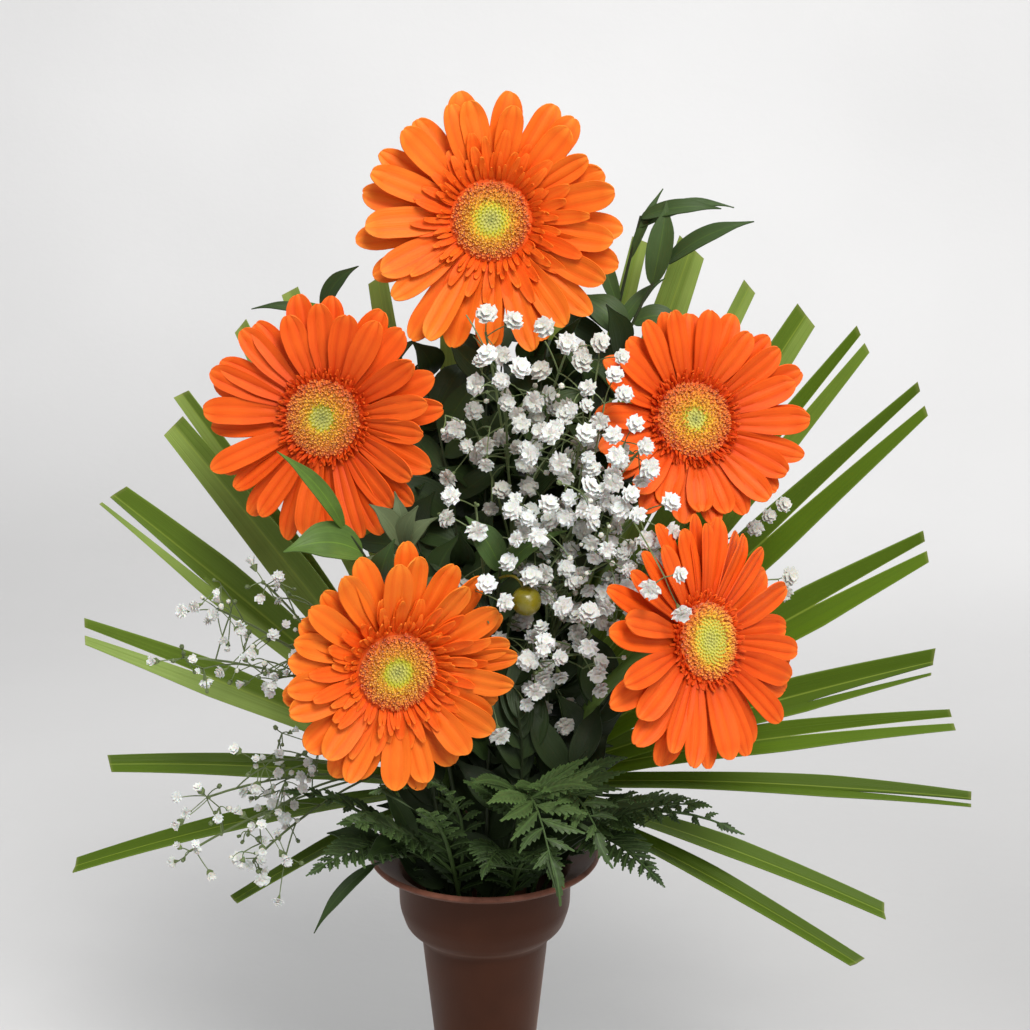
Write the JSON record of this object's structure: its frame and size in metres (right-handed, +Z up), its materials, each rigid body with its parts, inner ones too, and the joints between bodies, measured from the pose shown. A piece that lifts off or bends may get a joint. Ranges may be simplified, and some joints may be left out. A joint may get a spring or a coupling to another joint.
{
  "type": "gerberas in a flared vase",
  "caption": "Cut gerberas with baby's breath, trimmed palm, fern and ruscus, standing in water in a tall flared plastic vase.",
  "frame": {"origin": "centre of the underside of the vase's foot", "axes": "+Z up along the vase's axis, the flowers face -Y, +X to their right as seen from the front"},
  "size_m": [0.4044, 0.205, 0.5088],
  "materials": {
    "vase": "satin",
    "water": "gloss",
    "ray_orange": "matte",
    "ray_red": "matte",
    "disc": "matte",
    "stem": "satin",
    "palm": "satin",
    "fern": "matte",
    "ruscus": "satin",
    "sprig": "matte",
    "berry": "gloss",
    "babys_breath": "matte"
  },
  "bodies": {
    "root": {"babys_breath_left_high": "babys_breath", "babys_breath_left_low": "babys_breath", "babys_breath_middle": "babys_breath", "babys_breath_right": "babys_breath", "babys_breath_upper": "babys_breath", "fern_back": "fern", "fern_front": "fern", "fern_front_left": "fern", "fern_front_right": "fern", "fern_left": "fern", "fern_right": "fern", "gerbera_left_disc": "disc", "gerbera_left_rays": "ray_red", "gerbera_left_stem": "stem", "gerbera_low_left_disc": "disc", "gerbera_low_left_rays": "ray_orange", "gerbera_low_left_stem": "stem", "gerbera_low_right_disc": "disc", "gerbera_low_right_rays": "ray_red", "gerbera_low_right_stem": "stem", "gerbera_right_disc": "disc", "gerbera_right_rays": "ray_red", "gerbera_right_stem": "stem", "gerbera_top_disc": "disc", "gerbera_top_rays": "ray_orange", "gerbera_top_stem": "stem", "grey_green_sprig": "sprig", "palm_leaf_left": "palm", "palm_leaf_right": "palm", "ruscus_berry": "berry", "ruscus_left_front": "ruscus", "ruscus_low_left": "ruscus", "ruscus_middle": "ruscus", "ruscus_right": "ruscus", "ruscus_top_left": "ruscus", "ruscus_top_right": "ruscus", "vase": "vase", "water": "water"}
  },
  "joints": []
}
